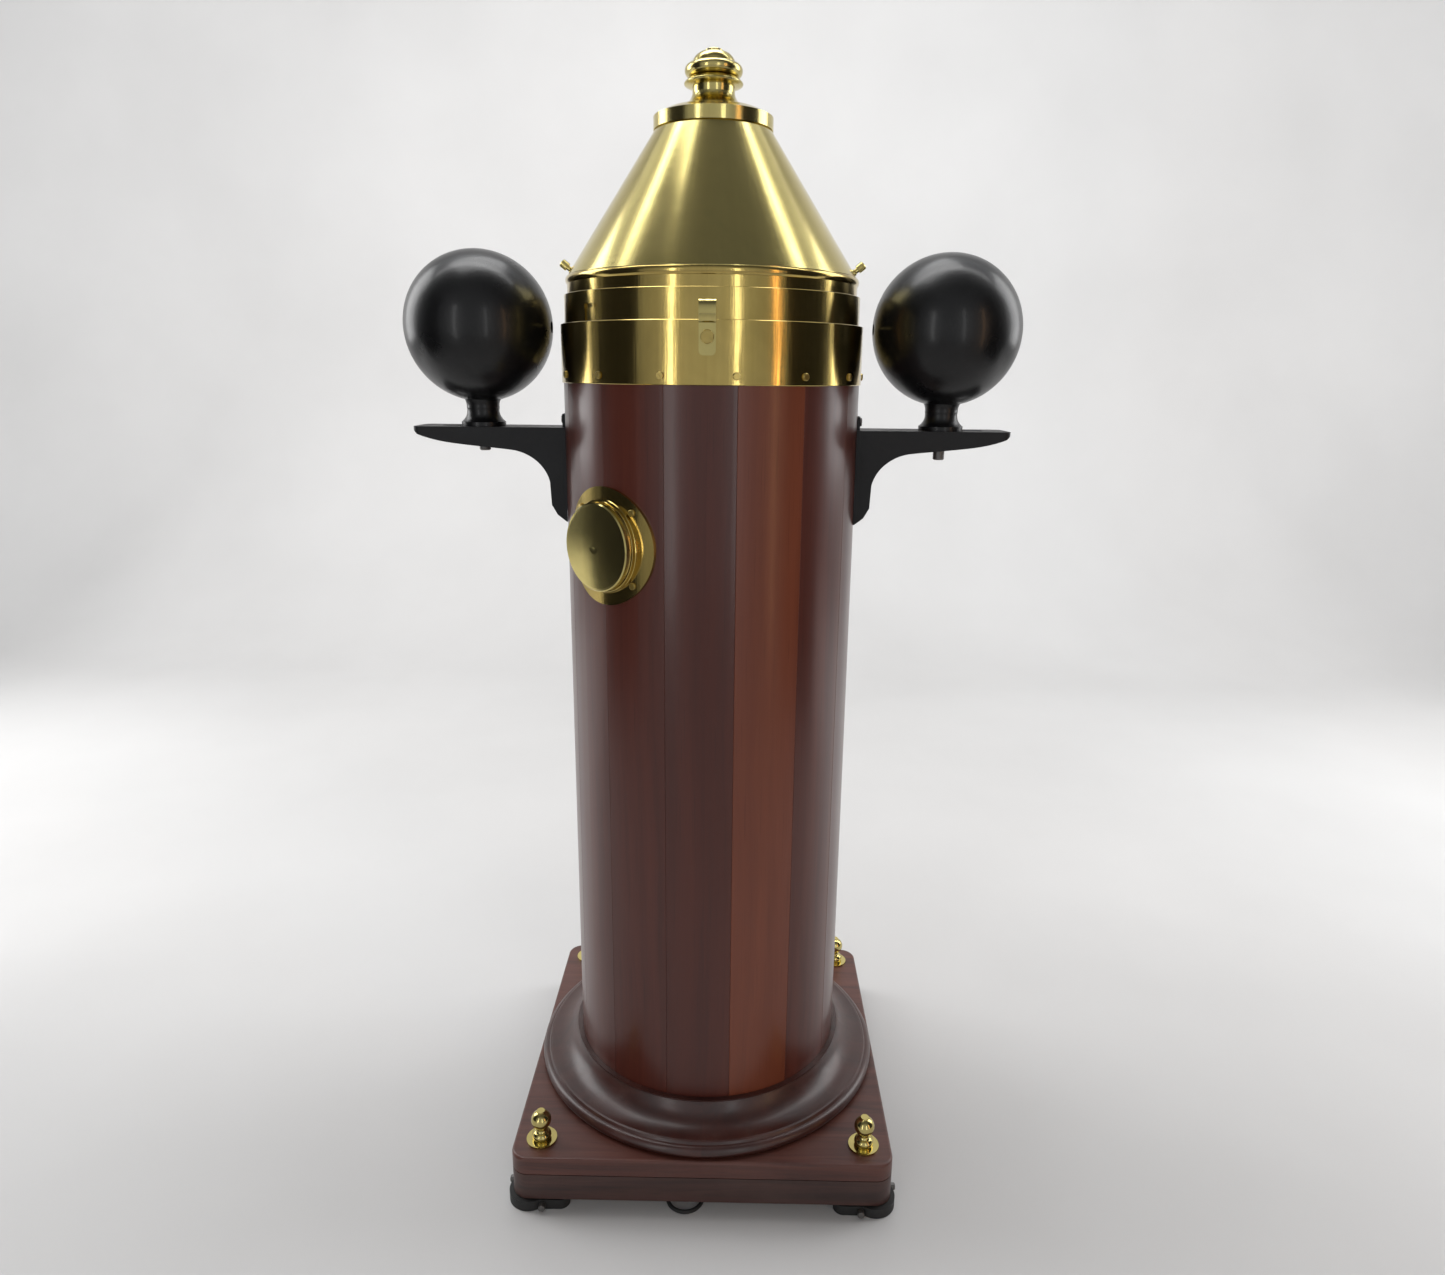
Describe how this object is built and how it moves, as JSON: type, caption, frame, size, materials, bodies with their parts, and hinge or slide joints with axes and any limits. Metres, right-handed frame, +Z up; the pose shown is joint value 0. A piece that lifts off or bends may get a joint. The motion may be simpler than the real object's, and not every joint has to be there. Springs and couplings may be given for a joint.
{
  "type": "binnacle compass",
  "caption": "Free-standing ship's binnacle: coopered wooden column with gimballed compass under a conical brass hood, between two corrector spheres.",
  "frame": {"origin": "centre of the base at floor level", "axes": "+X to starboard, +Y aft towards the helmsman, +Z up"},
  "size_m": [0.746, 0.498, 1.376],
  "materials": {
    "mahogany": "dark lacquered mahogany with a soft sheen",
    "dark_wood": "dark stained moulding and plinth, satin",
    "inner_wood": "bare hardwood",
    "brass": "polished, slightly aged",
    "black_enamel": "black gloss enamel",
    "black_iron": "black painted casting, satin",
    "steel": "dull dark steel",
    "rubber": "black, matt",
    "glass": "clear",
    "card": "white card with black points",
    "magnet": "red and blue enamelled bars",
    "bakelite": "dark moulded holder"
  },
  "bodies": {
    "pedestal": {"base_plinth": "dark_wood", "base_top_board": "mahogany", "base_moulding": "dark_wood", "corner_feet": "rubber", "foot_pins": "steel", "corner_washers": "brass", "corner_knobs": "brass", "column_staves": "mahogany", "shelves_and_hoops": "inner_wood", "top_band": "brass", "band_screws": "brass", "bayonet_collar": "brass", "catch_screw": "brass", "bracket_left": "black_iron", "bracket_right": "black_iron", "bracket_screws": "steel", "port_flange": "brass", "port_screws": "brass", "lamp_cable": "rubber", "hinge_leaves_column": "brass", "guide_rods": "brass", "heeling_tube": "brass", "gimbal_supports": "brass"},
    "catch": {"front_catch": "brass"},
    "left_corrector": {"corrector_sphere_left": "black_enamel", "sphere_pedestal_left": "black_enamel", "sphere_bolt_left": "steel"},
    "right_corrector": {"corrector_sphere_right": "black_enamel", "sphere_pedestal_right": "black_enamel", "sphere_bolt_right": "steel"},
    "skirt": {"hood_skirt": "brass"},
    "hood": {"hood_rim_band": "brass", "hood_cone": "brass", "hood_cap": "brass", "vent_cowl": "brass", "vent_finial": "brass", "window_frame": "brass", "window_glass": "glass"},
    "window_shutter": {"window_cover": "brass"},
    "left_knob": {"thumb_knob_left": "brass"},
    "right_knob": {"thumb_knob_right": "brass"},
    "lamp_drawer": {"port_cap": "brass", "lamp_holder": "bakelite", "lamp_bulb": "glass"},
    "door": {"access_door": "mahogany", "hinge_leaves_door": "brass", "door_knob": "brass"},
    "athwart_carrier": {"athwart_tray": "inner_wood", "athwart_magnets": "magnet"},
    "fore_aft_carrier": {"fore_aft_tray": "inner_wood", "fore_aft_magnets": "magnet"},
    "heeling_carrier": {"heeling_bucket": "brass"},
    "gimbal": {"gimbal_ring": "brass"},
    "bowl": {"compass_bowl": "brass", "bowl_bezel": "brass", "bowl_glasses": "glass", "bowl_fittings": "brass"},
    "card": {"compass_card": "card", "card_cap": "brass", "card_magnets": "magnet"}
  },
  "joints": [
    {"name": "catch_swing", "type": "hinge", "parent": "pedestal", "child": "catch", "pos_m": [0, -0.182, 1.0576], "axis": [0, -1, 0], "range_deg": [-90, 90]},
    {"name": "left_sphere_slide", "type": "slide", "parent": "pedestal", "child": "left_corrector", "axis": [-1, 0, 0], "range_m": [-0.005, 0.045]},
    {"name": "right_sphere_slide", "type": "slide", "parent": "pedestal", "child": "right_corrector", "axis": [1, 0, 0], "range_m": [-0.005, 0.045]},
    {"name": "bayonet_twist", "type": "hinge", "parent": "pedestal", "child": "skirt", "pos_m": [0, 0, 1.0915], "axis": [0, 0, 1], "range_deg": [0, 5.3]},
    {"name": "hood_lift", "type": "slide", "parent": "skirt", "child": "hood", "axis": [0, 0, 1], "range_m": [0, 0.35]},
    {"name": "window_cover_open", "type": "hinge", "parent": "hood", "child": "window_shutter", "pos_m": [0, 0.10284, 1.26281], "axis": [1, 0, 0], "range_deg": [0, 115]},
    {"name": "left_knob_turn", "type": "hinge", "parent": "hood", "child": "left_knob", "pos_m": [-0.16746, 0, 1.137], "axis": [-0.788, 0, 0.6157], "continuous": true},
    {"name": "right_knob_turn", "type": "hinge", "parent": "hood", "child": "right_knob", "pos_m": [0.16746, 0, 1.137], "axis": [0.788, 0, 0.6157], "continuous": true},
    {"name": "lamp_pull", "type": "slide", "parent": "pedestal", "child": "lamp_drawer", "axis": [-0.6468, -0.7627, 0], "range_m": [0, 0.13]},
    {"name": "door_open", "type": "hinge", "parent": "pedestal", "child": "door", "pos_m": [0.08699, 0.16282, 0.384], "axis": [0, 0, -1], "range_deg": [0, 110]},
    {"name": "athwart_tray_lift", "type": "slide", "parent": "pedestal", "child": "athwart_carrier", "axis": [0, 0, 1], "range_m": [-0.1, 0.05]},
    {"name": "fore_aft_tray_lift", "type": "slide", "parent": "pedestal", "child": "fore_aft_carrier", "axis": [0, 0, 1], "range_m": [-0.05, 0.1]},
    {"name": "heeling_bucket_lift", "type": "slide", "parent": "pedestal", "child": "heeling_carrier", "axis": [0, 0, 1], "range_m": [-0.12, 0.08]},
    {"name": "gimbal_ring_tilt", "type": "hinge", "parent": "pedestal", "child": "gimbal", "pos_m": [0, 0, 1.0733], "axis": [1, 0, 0], "range_deg": [-30, 30]},
    {"name": "bowl_tilt", "type": "hinge", "parent": "gimbal", "child": "bowl", "pos_m": [0, 0, 1.0733], "axis": [0, 1, 0], "range_deg": [-30, 30]},
    {"name": "card_turn", "type": "hinge", "parent": "bowl", "child": "card", "pos_m": [0, 0, 1.0733], "axis": [0, 0, 1], "continuous": true}
  ]
}
